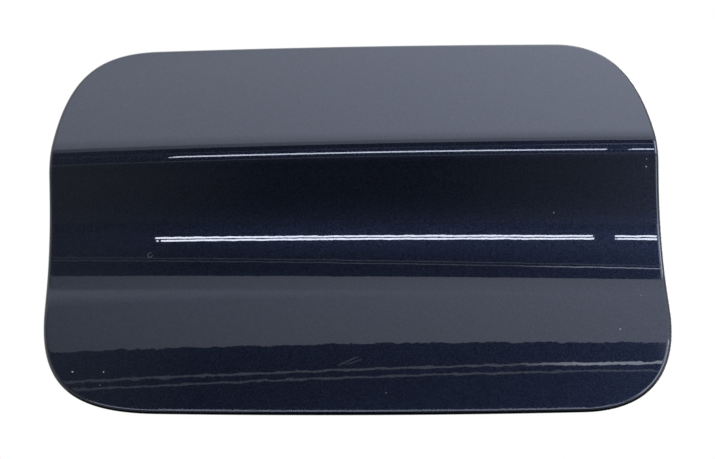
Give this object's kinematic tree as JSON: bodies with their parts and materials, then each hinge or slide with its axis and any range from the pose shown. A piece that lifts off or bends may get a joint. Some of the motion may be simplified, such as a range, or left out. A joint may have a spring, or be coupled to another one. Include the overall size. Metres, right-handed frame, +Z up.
{
  "type": "car fuel door",
  "caption": "Crowned steel fuel filler door with a creased, hemmed skin, stiffened inner panel, sprung pin hinge with a bolt-on base, lock eye and cap trough.",
  "frame": {"origin": "midway between the two bolt holes, on the face of the hinge base that meets the car body", "axes": "+X to the rear of the car along the door, +Y into the car, +Z up"},
  "size_m": [0.2007, 0.0568, 0.1342],
  "materials": {
    "body_paint": "metallic dark blue paint under gloss clear coat",
    "inner_paint": "thin dark blue paint, half gloss",
    "mastic": "matt",
    "cast_aluminium": "fine cast skin",
    "zinc_steel": "zinc plated",
    "pin_steel": "turned",
    "spring_steel": "drawn wire, oiled",
    "bush_acetal": "natural acetal",
    "striker_acetal": "moulded",
    "black_nylon": "moulded, glass filled",
    "rubber": "matt"
  },
  "bodies": {
    "base": {"hinge_base": "black_nylon", "mount_sleeves": "zinc_steel", "hinge_pin": "pin_steel", "pin_clip": "spring_steel", "hinge_spring": "spring_steel", "open_stop_pad": "rubber"},
    "door": {"outer_skin": "body_paint", "inner_panel": "inner_paint", "anti_flutter_strip_upper": "mastic", "anti_flutter_strip_lower": "mastic", "hinge_arm": "cast_aluminium", "arm_screws": "zinc_steel", "arm_nut_plate": "zinc_steel", "upper_bush": "bush_acetal", "lower_bush": "bush_acetal", "striker": "striker_acetal", "striker_rivets": "zinc_steel", "buffer_upper": "rubber", "buffer_lower": "rubber", "cap_holder": "black_nylon", "cap_holder_rivets": "zinc_steel"}
  },
  "joints": [
    {"name": "door_swing", "type": "hinge", "parent": "base", "child": "door", "pos_m": [-0.01, -0.028, 0], "axis": [0, 0, -1], "range_deg": [0, 95], "stiffness_Nm_per_rad": 0.27, "springref_deg": -22.92, "deforming": ["hinge_spring"]}
  ]
}
